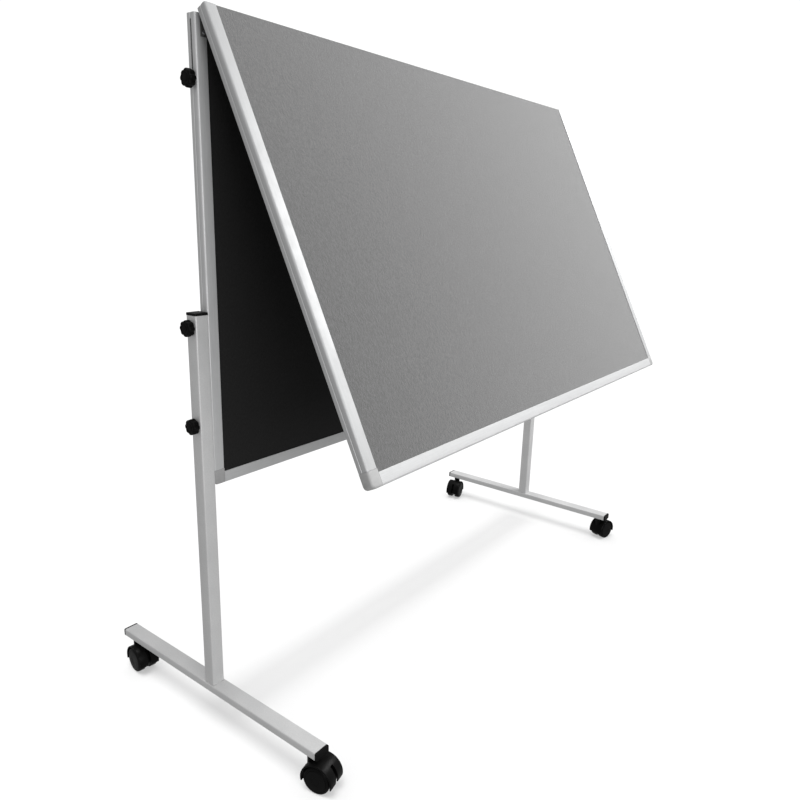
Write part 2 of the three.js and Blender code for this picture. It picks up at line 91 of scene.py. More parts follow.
WHEEL_RADIUS = 25.0
WHEEL_WIDTH = 15.0
WEB_WIDTH = 10.0
WHEEL_GAP = 0.6
CASTOR_TRAIL = 18.0
HOOD_RADIUS = 30.0
HOOD_WALL = 2.8
HOOD_TOP = 60.0
HOOD_LOW = -14.0             # lower end of the mudguard, in degrees about the axle
HOOD_END = 196.0             # its end beside the stem
WEB_LOW = 20.0               # lower end of the middle wall, on the mudguard's side
HOOD_SLOT = 7.0              # slot that parts the mudguard's lower end in two
HOOD_SLOT_TOP = 52.0
AXLE_RADIUS = 3.0
WEB_RADIUS = 18.0            # open middle of the web
BOSS_RADIUS = 8.5
BOSS_LOW = 40.0
STEM_RADIUS = 5.0
STEM_PIN_RADIUS = 3.0
STEM_PIN_LOW = 31.0
FLANGE_RADIUS = 8.0
FLANGE_HEIGHT = 3.0

SIDES = {"left": -1, "right": 1}
BODY_OF_BOARD = {"rear": "stand", "front": "front_board"}


# ------------------------------------------------------------------ places from the frame
def box_mm(node):
    low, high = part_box(node)
    return low / MM, high / MM


def middle_mm(node):
    low, high = box_mm(node)
    return (low + high) / 2


def joint_named(name):
    return next(joint for joint in frame["joints"] if joint["name"] == name)


left_low, left_high = box_mm("rear_frame_left")
right_high = box_mm("rear_frame_right")[1]
CENTRE_X = (left_low.x + right_high.x) / 2
HALF_WIDTH = (right_high.x - left_low.x) / 2
PANEL_Y = (left_low.y + left_high.y) / 2
PANEL_TOP = left_high.z
PANEL_BOTTOM = box_mm("rear_corner_left")[0].z
BOARD_HEIGHT = PANEL_TOP - PANEL_BOTTOM

hinge = joint_named("front_board_hinge")
HINGE_PLACE = Vector(hinge["pos_m"]) / MM
OPEN_ANGLE = math.radians(-hinge["range_deg"][0])

# A board is drawn upright, centred on x = 0 and y = 0, with its bottom at z = 0.
REAR_PLACE = Matrix.Translation((CENTRE_X, PANEL_Y, PANEL_BOTTOM))
FRONT_PLACE = (
    Matrix.Translation((CENTRE_X, HINGE_PLACE.y, HINGE_PLACE.z))
    @ Matrix.Rotation(-OPEN_ANGLE, 4, "X")
    @ Matrix.Translation((0, -HINGE_PROUD - PANEL_DEPTH / 2, -HINGE_ABOVE - BOARD_HEIGHT))
)
BOARD_PLACE = {"rear": REAR_PLACE, "front": FRONT_PLACE}


# ------------------------------------------------------------------ material graphs
class Graph:
    """A material with one Principled shader, and short ways to add nodes to it."""

    def __init__(self, name, **sockets):
        self.material = bpy.data.materials.new(name)
        self.material.use_nodes = True
        self.tree = self.material.node_tree
        self.shader = self.tree.nodes["Principled BSDF"]
        for socket, value in sockets.items():
            self.shader.inputs[socket.replace("_", " ")].default_value = value

    def node(self, kind, sockets=None, **settings):
        made = self.tree.nodes.new(kind)
        for key, value in settings.items():
            setattr(made, key, value)
        for key, value in (sockets or {}).items():
            if isinstance(value, bpy.types.NodeSocket):
                self.tree.links.new(value, made.inputs[key])
            else:
                made.inputs[key].default_value = value
        return made

    def place(self, stretch=(1, 1, 1), turn=0.0):
        """Object coordinates in metres, turned back about X, then stretched."""
        source = self.node("ShaderNodeTexCoord").outputs["Object"]
        sockets = {"Vector": source, "Angle": turn}
        turned = self.node("ShaderNodeVectorRotate", sockets, rotation_type="X_AXIS")
        scaled = self.node("ShaderNodeMapping", {"Vector": turned.outputs[0], "Scale": stretch})
        return scaled.outputs[0]

    def noise(self, where, scale, detail=3.0, rough=0.55):
        sockets = {"Vector": where, "Scale": scale, "Detail": detail, "Roughness": rough}
        return self.node("ShaderNodeTexNoise", sockets).outputs["Fac"]

    def mix(self, factor, first, second):
        mixed = self.node("ShaderNodeMix", data_type="RGBA")
        # the Mix node's sockets for a factor and two colours
        for key, value in ((0, factor), (6, first), (7, second)):
            if isinstance(value, bpy.types.NodeSocket):
                self.tree.links.new(value, mixed.inputs[key])
            else:
                mixed.inputs[key].default_value = value
        return mixed.outputs[2]

    def span(self, value, low, high, start=0.3, end=0.7):
        """Maps a texture's usual range onto low..high."""
        sockets = {"Value": value, "From Min": start, "From Max": end, "To Min": low, "To Max": high}
        return self.node("ShaderNodeMapRange", sockets).outputs[0]

    def math(self, operation, first, second):
        made = self.node("ShaderNodeMath", operation=operation)
        for index, value in enumerate((first, second)):
            if isinstance(value, bpy.types.NodeSocket):
                self.tree.links.new(value, made.inputs[index])
            else:
                made.inputs[index].default_value = value
        return made.outputs[0]

    def bump(self, height, distance, strength, under=None):
        sockets = {"Height": height, "Distance": distance, "Strength": strength}
        if under is not None:
            sockets["Normal"] = under
        return self.node("ShaderNodeBump", sockets).outputs[0]

    def drive(self, socket, value):
        self.tree.links.new(value, self.shader.inputs[socket])


def grey(value, warmth=0.0):
    return (value * (1 + warmth), value, value * (1 - warmth), 1.0)


def anodised(name, tone, along, turn=0.0):
    """Satin anodised aluminium with drawing lines along one axis and faint handling marks."""
    graph = Graph(name, Metallic=0.55)
    stretch = [1.0, 1.0, 1.0]
    stretch[along] = 0.012
    lines_place = graph.place(stretch, turn)
    lines = graph.noise(lines_place, 2600.0, detail=4.0)
    broad_lines = graph.noise(lines_place, 520.0, detail=2.0)
    marks = graph.noise(graph.place(), 34.0, detail=5.0, rough=0.62)
    colour = graph.mix(graph.span(lines, 0, 1), grey(0.60 * tone, -0.008), grey(0.70 * tone, -0.004))
    colour = graph.mix(graph.span(broad_lines, 0, 0.35), colour, grey(0.55 * tone, -0.01))
    colour = graph.mix(graph.span(marks, 0.0, 0.16, 0.5, 0.75), colour, grey(0.48 * tone))
    graph.drive("Base Color", colour)
    rough = graph.math("ADD", graph.span(lines, 0.5, 0.62), graph.span(marks, 0.0, 0.08, 0.45, 0.7))
    graph.drive("Roughness", rough)
    graph.drive("Normal", graph.bump(lines, 0.00006, 0.5))
    return graph.material


def powder_coat(name, tone):
    """Silver-grey powder coat: orange-peel surface, small bright flakes, slightly uneven tone."""
    graph = Graph(name, Metallic=0.25, Coat_Weight=0.15, Coat_Roughness=0.3)
    where = graph.place()
    peel = graph.noise(where, 900.0, detail=2.0)
    patches = graph.noise(where, 16.0, detail=4.0)
    speckle = graph.noise(where, 420.0, detail=3.0, rough=0.65)
    flakes = graph.node("ShaderNodeTexVoronoi", {"Vector": where, "Scale": 1500.0})
    colour = graph.mix(graph.span(patches, 0, 1), grey(tone * 0.93, -0.006), grey(tone * 1.05))
    colour = graph.mix(graph.span(speckle, 0.0, 0.6), colour, grey(tone * 0.84))
    glint = graph.span(flakes.outputs["Distance"], 0.55, 0.0, 0.08, 0.3)
    colour = graph.mix(glint, colour, grey(min(1.0, tone * 1.35)))
    graph.drive("Base Color", colour)
    graph.drive("Roughness", graph.span(patches, 0.38, 0.5))
    graph.drive("Normal", graph.bump(peel, 0.00012, 0.45))
    return graph.material


def moulded(name, tone, roughness, grain, gloss, dust_tone, warmth=0.0):
    """Moulded plastic with an eroded grain, rubbed corners and a little dust on top."""
    graph = Graph(name, Specular_IOR_Level=gloss)
    where = graph.place()
    cells = graph.node("ShaderNodeTexVoronoi", {"Vector": where, "Scale": grain}, feature="SMOOTH_F1")
    fine = graph.noise(where, grain * 1.6, detail=3.0)
    cloudy = graph.noise(where, 45.0, detail=4.0, rough=0.6)
    colour = graph.mix(graph.span(cloudy, 0, 1), grey(tone * 0.88, warmth), grey(tone * 1.14, warmth))
    geometry = graph.node("ShaderNodeNewGeometry")
    worn = graph.span(geometry.outputs["Pointiness"], 0.0, 0.35, 0.52, 0.6)
    colour = graph.mix(worn, colour, grey(tone * 1.7 + 0.01, warmth))
    upward = graph.node("ShaderNodeSeparateXYZ", {"Vector": geometry.outputs["Normal"]}).outputs["Z"]
    dust = graph.math("MULTIPLY", graph.span(upward, 0.0, 0.09, 0.5, 1.0), graph.span(fine, 0.3, 1.0))
    colour = graph.mix(dust, colour, grey(dust_tone, 0.03))
    graph.drive("Base Color", colour)
    graph.drive("Roughness", graph.span(cloudy, roughness - 0.06, roughness + 0.08))
    relief = graph.math("ADD", cells.outputs["Distance"], graph.math("MULTIPLY", fine, 0.6))
    graph.drive("Normal", graph.bump(relief, 0.00012, 0.4))
    return graph.material


def felt(name, tone, sheen, turn=0.0):
    """Matt needled textile: crossed threads, tangled fibres, lint and a slightly uneven tone."""
    finish = {"Roughness": 0.93, "Specular_IOR_Level": 0.18}
    graph = Graph(name, Sheen_Weight=sheen, Sheen_Roughness=0.55, **finish)
    where = graph.place(turn=turn)
    fibres = graph.noise(where, 1100.0, detail=6.0, rough=0.7)
    tufts = graph.noise(graph.place((1.0, 1.0, 0.6), turn), 330.0, detail=4.0, rough=0.6)
    shade = graph.noise(graph.place((1.0, 1.0, 0.4), turn), 26.0, detail=4.0, rough=0.6)
    threads = []
    for axis in ("X", "Z"):
        sockets = {"Vector": where, "Scale": 190.0}
        sockets |= {"Distortion": 2.2, "Detail": 2.0, "Detail Scale": 1.6}
        wave = graph.node("ShaderNodeTexWave", sockets, bands_direction=axis)
        threads.append(wave.outputs["Fac"])
    weave = graph.math("MULTIPLY", threads[0], threads[1])
    colour = graph.mix(graph.span(tufts, 0, 1), grey(tone * 0.68), grey(tone * 1.3))
    colour = graph.mix(graph.span(weave, 0.0, 0.3, 0.0, 0.8), colour, grey(tone * 1.3))
    colour = graph.mix(graph.span(shade, 0.0, 0.28), colour, grey(tone * 0.82))
    lint = graph.span(fibres, 0.0, 0.45, 0.62, 0.8)
    colour = graph.mix(lint, colour, grey(min(0.9, tone * 1.8 + 0.03)))
    graph.drive("Base Color", colour)
    relief = graph.math("ADD", graph.math("MULTIPLY", weave, 0.6), fibres)
    soft = graph.bump(tufts, 0.0012, 0.45)
    graph.drive("Normal", graph.bump(relief, 0.0004, 0.6, under=soft))
    return graph.material


def softboard(name):
    """Pressed fibre core, seen only along the boards' open top edges."""
    graph = Graph(name, Roughness=0.95)
    layers = graph.noise(graph.place((0.15, 1.6, 1.0)), 900.0, detail=5.0, rough=0.7)
    specks = graph.noise(graph.place(), 1500.0, detail=2.0)
    colour = graph.mix(graph.span(layers, 0, 1), (0.20, 0.165, 0.12, 1), (0.34, 0.29, 0.22, 1))
    colour = graph.mix(graph.span(specks, 0.0, 0.5, 0.55, 0.75), colour, (0.12, 0.095, 0.07, 1))
    graph.drive("Base Color", colour)
    graph.drive("Normal", graph.bump(layers, 0.0005, 0.7))
    return graph.material


def zinc(name):
    """Zinc-plated steel with soft spangles and fine turning marks."""
    graph = Graph(name, Metallic=0.95)
    where = graph.place()
    spangle = graph.node("ShaderNodeTexVoronoi", {"Vector": where, "Scale": 420.0})
    turning = graph.noise(graph.place((1, 1, 14)), 260.0, detail=3.0)
    spread = graph.node("ShaderNodeSeparateXYZ", {"Vector": spangle.outputs["Color"]}).outputs["X"]
    colour = graph.mix(graph.span(spread, 0, 1, 0, 1), (0.48, 0.49, 0.5, 1), (0.64, 0.645, 0.66, 1))
    graph.drive("Base Color", colour)
    graph.drive("Roughness", graph.span(turning, 0.24, 0.4))
    graph.drive("Normal", graph.bump(turning, 0.00005, 0.5))
    return graph.material


def black_coat(name):
    """Thin black paint on pressed steel, rubbed to grey on its edges."""
    graph = Graph(name, Metallic=0.1)
    where = graph.place()
    fine = graph.noise(where, 1300.0, detail=3.0)
    patches = graph.noise(where, 90.0, detail=4.0)
    pointed = graph.node("ShaderNodeNewGeometry").outputs["Pointiness"]
    colour = graph.mix(graph.span(patches, 0, 1), grey(0.012), grey(0.024))
    colour = graph.mix(graph.span(pointed, 0.0, 0.4, 0.53, 0.62), colour, grey(0.2))
    graph.drive("Base Color", colour)
    graph.drive("Roughness", graph.span(patches, 0.34, 0.5))
    graph.drive("Normal", graph.bump(fine, 0.00008, 0.4))
    return graph.material


MATERIALS = {
    "rear_side": anodised("anodised_rear_sides", 0.82, along=2),
    "bottom": anodised("anodised_bottoms", 0.82, along=0),
    # the front board's side profiles are the rear's aluminium toned darker (0.67 against 0.82): painted
    # shade that offsets the stronger light the tilted board catches
    "front_side": anodised("anodised_front_sides_painted_shade", 0.67, along=2, turn=OPEN_ANGLE),
    "tube": powder_coat("silver_powder_coat", 0.55),
    "black_plastic": moulded("black_plastic", 0.0028, 0.42, 1500.0, gloss=0.05, dust_tone=0.05),
    "castor_plastic": moulded("castor_plastic", 0.0018, 0.34, 1100.0, gloss=0.06, dust_tone=0.04),
    "grey_plastic": moulded("grey_plastic", 0.29, 0.6, 1300.0, gloss=0.2, dust_tone=0.36),
    "grey_felt": felt("grey_felt", 0.062, 0.6),
    "grey_felt_front": felt("grey_felt_front", 0.062, 0.6, OPEN_ANGLE),
    "dark_felt": felt("dark_felt", 0.009, 0.04),
    "dark_felt_front": felt("dark_felt_front", 0.009, 0.04, OPEN_ANGLE),
    "core": softboard("softboard"),
    "zinc": zinc("zinc_plate"),
    "black_steel": black_coat("black_steel"),
}

CAD_FINISHES = {
    "rear_core_board": "core",
    "front_core_board": "core",
    "rear_felt_front": "dark_felt",
    "rear_felt_back": "grey_felt",
    "front_felt_outer": "grey_felt_front",
    "front_felt_inner": "dark_felt_front",
}
for word in SIDES:
    CAD_FINISHES[f"hinge_pin_{word}"] = "zinc"
    # the lock bolts get the black coat as painted shade: it stands in for the shade inside their slots
    CAD_FINISHES[f"lock_bolt_{word}"] = "black_steel"
    CAD_FINISHES[f"hinge_leaf_lower_{word}"] = "black_steel"
    CAD_FINISHES[f"hinge_leaf_upper_{word}"] = "black_steel"
for node, finish in CAD_FINISHES.items():
    slots = frame["nodes"][node].data.materials
    slots.clear()
    slots.append(MATERIALS[finish])


# ------------------------------------------------------------------ mesh building
def rounded_rectangle(width, height, radius, steps=6):
    """Points of a rounded rectangle, counter-clockwise, the same number for any size."""
    points = []
    for corner in range(4):
        centre_x = (width / 2 - radius) * (1 if corner in (0, 3) else -1)
        centre_y = (height / 2 - radius) * (1 if corner in (0, 1) else -1)
        for step in range(steps + 1):
            angle = math.pi / 2 * (corner + step / steps)
            points.append((centre_x + radius * math.cos(angle), centre_y + radius * math.sin(angle)))
    return points


def arc(centre, radius, start, end, steps):
    """Points on an arc, angles in degrees."""
    angles = [math.radians(start + (end - start) * step / steps) for step in range(steps + 1)]
    return [(centre[0] + radius * math.cos(a), centre[1] + radius * math.sin(a)) for a in angles]


def to_mesh(bm):
    bmesh.ops.recalc_face_normals(bm, faces=bm.faces)
    mesh = bpy.data.meshes.new("work")
    bm.to_mesh(mesh)
    bm.free()
    return mesh


def prism(outline, length, hole=None):
    """A closed extrusion along +Z; a hole has as many points as the outline."""
    bm = bmesh.new()
    loops = [outline] + ([hole] if hole else [])
    rings = [[[bm.verts.new((x, y, z)) for x, y in loop] for z in (0, length)] for loop in loops]
    count = len(outline)
    for low, high in rings:
        for i in range(count):
            j = (i + 1) % count
            bm.faces.new((low[i], low[j], high[j], high[i]))
    for end in (0, 1):
        if hole:
            outer, inner = rings[0][end], rings[1][end]
            for i in range(count):
                j = (i + 1) % count
                bm.faces.new((outer[i], outer[j], inner[j], inner[i]))
        else:
            bm.faces.new(rings[0][end])
    return to_mesh(bm)


def surface_rings(rings):
    """A skin over rings of points with equal counts, closed at both ends."""
    bm = bmesh.new()
    loops = [[bm.verts.new(point) for point in ring] for ring in rings]
    count = len(loops[0])
    for low, high in zip(loops, loops[1:]):
        for i in range(count):
            j = (i + 1) % count
            bm.faces.new((low[i], low[j], high[j], high[i]))
    bm.faces.new(loops[0])
    bm.faces.new(loops[-1])
    return to_mesh(bm)


def lathe(profile, segments=48):
    """Turns (radius, height) points about Z; both ends are closed by flat discs."""
    rings = []
    for radius, height in profile:
        angles = [2 * math.pi * i / segments for i in range(segments)]
        rings.append([(radius * math.cos(a), radius * math.sin(a), height) for a in angles])
    return surface_rings(rings)


def block(low, high):
    """A rectangular solid between two corners, used for keys and as a cutter."""
    bm = bmesh.new()
    bmesh.ops.create_cube(bm, size=1.0)
    for vertex in bm.verts:
        vertex.co = Vector(low) + (vertex.co + Vector((0.5, 0.5, 0.5))) * (Vector(high) - Vector(low))
    return to_mesh(bm)


def rod(axis, radius, start, length, segments=32):
    """A round bar along an axis from its start point; negative lengths run backwards."""
    mesh = lathe([(radius, 0), (radius, length)], segments)
    turns = {
        "x": Matrix.Rotation(math.pi / 2, 4, "Y"),
        "y": Matrix.Rotation(-math.pi / 2, 4, "X"),
        "z": Matrix(),
    }
    mesh.transform(Matrix.Translation(start) @ turns[axis])
    return mesh


def combine(base, others, operation):
    """Exact boolean of a mesh with others, one after another."""
    holder = bpy.data.objects.new("boolean_base", base)
    bpy.context.scene.collection.objects.link(holder)
    for other in others:
        tool = bpy.data.objects.new("boolean_tool", other)
        bpy.context.scene.collection.objects.link(tool)
        modifier = holder.modifiers.new("boolean", "BOOLEAN")
        modifier.object = tool
        modifier.operation = operation
        modifier.solver = "EXACT"
        bpy.context.view_layer.update()
        depsgraph = bpy.context.evaluated_depsgraph_get()
        result = bpy.data.meshes.new_from_object(holder.evaluated_get(depsgraph))
        holder.modifiers.clear()
        holder.data = result
        bpy.data.objects.remove(tool)
    final = holder.data
    bpy.data.objects.remove(holder)
    return final


def join(base, *others):
    return combine(base, others, "UNION")


def cut(base, *others):
    return combine(base, others, "DIFFERENCE")


def soften(mesh, width, segments, sharper_than=35.0, keep=None):
    """Rounds edges that are sharper than an angle; keep(edge) picks among them."""
    bm = bmesh.new()
    bm.from_mesh(mesh)
    bmesh.ops.dissolve_degenerate(bm, edges=bm.edges, dist=1e-4)
    limit = math.radians(sharper_than)
    edges = [e for e in bm.edges if e.is_manifold and e.calc_face_angle(0) > limit]
    if keep:
        edges = [e for e in edges if keep(e)]
    bmesh.ops.bevel(bm, geom=edges, offset=width, segments=segments, profile=0.5, affect="EDGES",
                    clamp_overlap=True)
    return to_mesh(bm)


def mirrored(mesh):
    copy = mesh.copy()
    copy.transform(Matrix.Scale(-1, 4, (1, 0, 0)))
    copy.flip_normals()
    return copy


PIECES_ON = {}               # new pieces by the body they ride on


def front_board_pieces():
    kept = ["front_core_board", "front_felt_outer", "front_felt_inner"]
    kept += [f"hinge_leaf_upper_{word}" for word in SIDES]
    return PIECES_ON["front_board"] + [frame["nodes"][node] for node in kept]


def rear_board_pieces():
    kept = ["rear_core_board", "rear_felt_front", "rear_felt_back"]
    profiles = [piece for piece in PIECES_ON["stand"] if piece.name.startswith("rear_")]
    return profiles + [frame["nodes"][node] for node in kept]


def make_piece(name, mesh, place, body, finish, nodes=()):
    """A finished piece from a mesh in millimetres: scaled, shaded, riding, standing for nodes."""
    data = mesh.copy()
    data.name = name
    data.transform(Matrix.Scale(MM, 4) @ place)
    data.polygons.foreach_set("use_smooth", [True] * len(data.polygons))
    data.set_sharp_from_angle(angle=math.radians(SHARP_ANGLE))
    data.materials.clear()
    data.materials.append(MATERIALS[finish])
    piece = bpy.data.objects.new(name, data)
    bpy.context.scene.collection.objects.link(piece)
    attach(piece, body)
    PIECES_ON.setdefault(body, []).append(piece)
    if nodes:
        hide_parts(*nodes)
    return piece


def for_side(side, mesh):
    return mesh if side > 0 else mirrored(mesh)


# ------------------------------------------------------------------ frame profiles and corners
def profile_section():
    """Section of the frame: first value inwards from the outer face, second across the depth."""
    half = PANEL_DEPTH / 2
    lip = half - LIP_WALL
    edge = 0.35              # broken edge of each lip
    fillet = 0.6             # inside, where a lip meets the wall
    r = PROFILE_RADIUS
    rear_lip = [(FRAME_FACE - edge, -half), (FRAME_FACE, -half + edge), (FRAME_FACE, -lip)]
    inside = [(PROFILE_WALL + fillet, -lip), (PROFILE_WALL, -lip + fillet)]
    inside += [(PROFILE_WALL, lip - fillet), (PROFILE_WALL + fillet, lip)]
    front_lip = [(FRAME_FACE, lip), (FRAME_FACE, half - edge), (FRAME_FACE - edge, half)]
    groove = [(0, 1.5), (0.25, 1.2), (0.6, 0.9), (0.6, -0.9), (0.25, -1.2), (0, -1.5)]
    first_bend = arc((r, half - r), r, 90, 180, 7)
    last_bend = arc((r, r - half), r, 180, 270, 7)
    return rear_lip + inside + front_lip + first_bend + groove + last_bend


def side_profile(cutters=()):
    start = CORNER_RISE + PLAY
    mesh = prism(profile_section(), BOARD_HEIGHT - start)
    mesh.transform(Matrix.Translation((HALF_WIDTH, 0, start)) @ Matrix.Rotation(math.pi, 4, "Z"))
    return cut(mesh, *cutters) if cutters else mesh


def bottom_profile():
    length = 2 * (HALF_WIDTH - CORNER_ALONG - PLAY)
    mesh = prism(profile_section(), length)
    mesh.transform(Matrix.Translation((length / 2, 0, 0)) @ Matrix.Rotation(-math.pi / 2, 4, "Y"))
    return mesh


def frame_corner():
    """Moulded corner with rounded outer edges and tongues that key into both profiles."""
    low = HALF_WIDTH - CORNER_ALONG
    centre = (HALF_WIDTH - CORNER_RADIUS, CORNER_RADIUS)
    outline = [(low, 0)] + arc(centre, CORNER_RADIUS, -90, 0, 14)
    outline += [(HALF_WIDTH, CORNER_RISE), (low, CORNER_RISE)]
    body = prism(outline, PANEL_DEPTH)
    to_back = Matrix.Translation((0, PANEL_DEPTH / 2, 0))
    body.transform(to_back @ Matrix.Rotation(math.pi / 2, 4, "X"))

    def on_outer_rim(edge):
        ends = [v.co for v in edge.verts]
        if abs(ends[0].y - ends[1].y) > 0.01:
            return False
        meets_bottom = all(abs(p.x - low) < 0.01 for p in ends)
        meets_side = all(abs(p.z - CORNER_RISE) < 0.01 for p in ends)
        return not (meets_bottom or meets_side)

    body = soften(body, PROFILE_RADIUS - 0.2, 6, keep=on_outer_rim)
    body = soften(body, 0.25, 2, sharper_than=60.0)
    half = PANEL_DEPTH / 2 - LIP_WALL - PLAY
    inner = PROFILE_WALL + PLAY
    tongue = 14.0
    rising = block((HALF_WIDTH - CHAMBER + PLAY, -half, CORNER_RISE - 3),
                   (HALF_WIDTH - inner, half, CORNER_RISE + tongue))
    lying = block((low - tongue, -half, inner), (low + 3, half, CHAMBER - PLAY))
    return join(body, rising, lying)


def bolt_slot_cutters():
    """The lock bolt's slot and the clamp studs' holes, in the drawing place of the +X profile."""
    stud = middle_mm("lock_knob_right")
    travel = joint_named("lock_bolt_right_slide")["range_m"][1] / MM
    z = stud.z - PANEL_BOTTOM
    wall = (HALF_WIDTH - PROFILE_WALL - 1, HALF_WIDTH + 1)      # the cutters pass through it
    half = BOLT_SLOT / 2
    start = z - BOLT_SLOT_SPARE + half
    end = z + travel + BOLT_SLOT_SPARE - half
    outline = arc((start, 0), half, 90, 270, 10) + arc((end, 0), half, -90, 90, 10)
    slot = prism(outline, wall[1] - wall[0])
    slot.transform(Matrix.Translation((wall[1], 0, 0)) @ Matrix.Rotation(-math.pi / 2, 4, "Y"))
    cutters = [slot]
    for level in ("upper", "lower"):
        place = middle_mm(f"clamp_knob_{level}_right")
        start = (wall[0], place.y - PANEL_Y, place.z - PANEL_BOTTOM)
        cutters.append(rod("x", CLAMP_STUD_RADIUS + PLAY, start, wall[1] - wall[0]))
    return cutters


def make_frames():
    corner = frame_corner()
    bottom = bottom_profile()
    sides = {"rear": side_profile(bolt_slot_cutters()), "front": side_profile()}
    for board, body in BODY_OF_BOARD.items():
        place = BOARD_PLACE[board]
        for word, side in SIDES.items():
            name = f"{board}_profile_{word}"
            make_piece(name, for_side(side, sides[board]), place, body, f"{board}_side",
                       [f"{board}_frame_{word}"])
            name = f"{board}_moulded_corner_{word}"
            make_piece(name, for_side(side, corner), place, body, "grey_plastic",
                       [f"{board}_corner_{word}"])
        make_piece(f"{board}_profile_bottom", bottom, place, body, "bottom",
                    [f"{board}_frame_bottom"])


# ------------------------------------------------------------------ stands
def tube(width, height, length):
    outer = rounded_rectangle(width, height, TUBE_RADIUS)
    inner_radius = max(0.6, TUBE_RADIUS - TUBE_WALL)
    inner = rounded_rectangle(width - 2 * TUBE_WALL, height - 2 * TUBE_WALL, inner_radius)
    return prism(outer, length, inner)


def end_cap(width, height, lid):
    """A lid with a rounded rim and a plug that points to -Z; its underside is z = 0."""
    # height and inset of each ring
    rims = [
        (0.0, 0.0), (lid - 1.0, 0.0), (lid - 0.45, 0.12), (lid - 0.12, 0.45), (lid, 1.0), (lid, 2.6),
    ]
    rings = []
    for level, inset in rims:
        radius = max(0.8, TUBE_RADIUS - inset / 2)
        points = rounded_rectangle(width - 2 * inset, height - 2 * inset, radius)
        rings.append([(x, y, level) for x, y in points])
    cover = surface_rings(rings)
    inset = 2 * (TUBE_WALL + PLAY) + 1
    plug = prism(rounded_rectangle(width - inset, height - inset, 0.8), PLUG_LENGTH + 0.5)
    plug.transform(Matrix.Translation((0, 0, -PLUG_LENGTH)))
    return join(cover, plug)


def rivet_nut():
    """Flanged threaded insert under the foot, open downwards."""
    return lathe([
        (RIVET_NUT_RADIUS, 2.5), (RIVET_NUT_RADIUS, 0.9), (5.6, 0.3), (4.9, 0.0), (3.2, 0.0),
        (2.6, 0.6), (2.5, 2.0),
    ])


def make_stands():
    for word in SIDES:
        low, high = box_mm(f"foot_tube_{word}")
        centre = (low + high) / 2
        bottom = high.z - FOOT_HEIGHT        # the node's box also holds the insert below it
        foot = tube(FOOT_WIDTH, FOOT_HEIGHT, high.y - low.y)
        rear_end = Matrix.Translation((centre.x, high.y, bottom + FOOT_HEIGHT / 2))
        foot.transform(rear_end @ Matrix.Rotation(math.pi / 2, 4, "X"))
        stems = [middle_mm(f"castor_stem_{end}_{word}") for end in ("front", "rear")]
        holes = [rod("z", STEM_RADIUS + PLAY, (p.x, p.y, bottom - 1), TUBE_WALL + 2) for p in stems]
        make_piece(f"foot_bar_{word}", cut(foot, *holes), Matrix(), "stand", "tube",
                   [f"foot_tube_{word}"])
        nut_y = middle_mm(f"post_tube_{word}").y - RIVET_NUT_AHEAD
        make_piece(f"rivet_nut_{word}", rivet_nut(), Matrix.Translation((centre.x, nut_y, low.z)),
                   "stand", "zinc")

        low, high = box_mm(f"post_tube_{word}")
        centre = (low + high) / 2
        post = tube(POST_SIZE, POST_SIZE, high.z - low.z)
        post.transform(Matrix.Translation((centre.x, centre.y, low.z)))
        levels = [middle_mm(f"clamp_knob_{level}_{word}").z for level in ("upper", "lower")]
        hole = CLAMP_STUD_RADIUS + PLAY
        holes = [rod("x", hole, (centre.x - POST_SIZE, centre.y, z), 2 * POST_SIZE) for z in levels]
        make_piece(f"post_{word}", cut(post, *holes), Matrix(), "stand", "tube",
                   [f"post_tube_{word}"])

        low, high = box_mm(f"post_cap_{word}")
        lid = high.z - low.z - PLUG_LENGTH
        cap = end_cap(high.x - low.x, high.y - low.y, lid)
        make_piece(f"post_lid_{word}", cap, Matrix.Translation((centre.x, centre.y, high.z - lid)),
                   "stand", "black_plastic", [f"post_cap_{word}"])
        for end, turn in (("front", math.pi / 2), ("rear", -math.pi / 2)):
            node = f"foot_cap_{end}_{word}"
            low, high = box_mm(node)
            lid = high.y - low.y - PLUG_LENGTH
            face = low.y + lid if end == "front" else high.y - lid
            middle = (low + high) / 2
            place = Matrix.Translation((middle.x, face, middle.z)) @ Matrix.Rotation(turn, 4, "X")
            make_piece(f"foot_end_{end}_{word}", end_cap(FOOT_WIDTH, FOOT_HEIGHT, lid), place,
                       "stand", "black_plastic", [node])


# ------------------------------------------------------------------ knobs
def knob_body():
    """Lobed grip about +X, its foot at x = 0, with a rounded rim and a dished cap."""
    rim = KNOB_RADIUS - 0.9
    # distance from the foot, radius, height of the lobes
    stations = [
        (0.0, rim - 3.6, 0.2), (0.1, rim - 2.2, 0.5), (0.7, rim - 0.9, 0.8), (1.8, rim - 0.15, 0.9),
        (3.4, rim, 0.9), (8.6, rim, 0.9), (10.4, rim - 0.3, 0.85), (11.5, rim - 1.0, 0.7),
        (12.2, rim - 2.1, 0.5), (12.5, rim - 3.6, 0.25), (12.5, 8.4, 0.0), (12.3, 8.0, 0.0),
        (11.9, 7.7, 0.0), (11.8, 7.2, 0.0), (11.95, 6.9, 0.0), (12.2, 4.0, 0.0), (12.3, 0.6, 0.0),
    ]
    segments = KNOB_LOBES * 12
    rings = []
    for x, radius, lobes in stations:
        ring = []
        for i in range(segments):
            angle = 2 * math.pi * i / segments
            wave = math.cos(KNOB_LOBES * angle)
            reach = radius + lobes * (1 - 2 * ((1 - wave) / 2) ** 1.6)
            ring.append((x, reach * math.cos(angle), reach * math.sin(angle)))
        rings.append(ring)
    return surface_rings(rings)


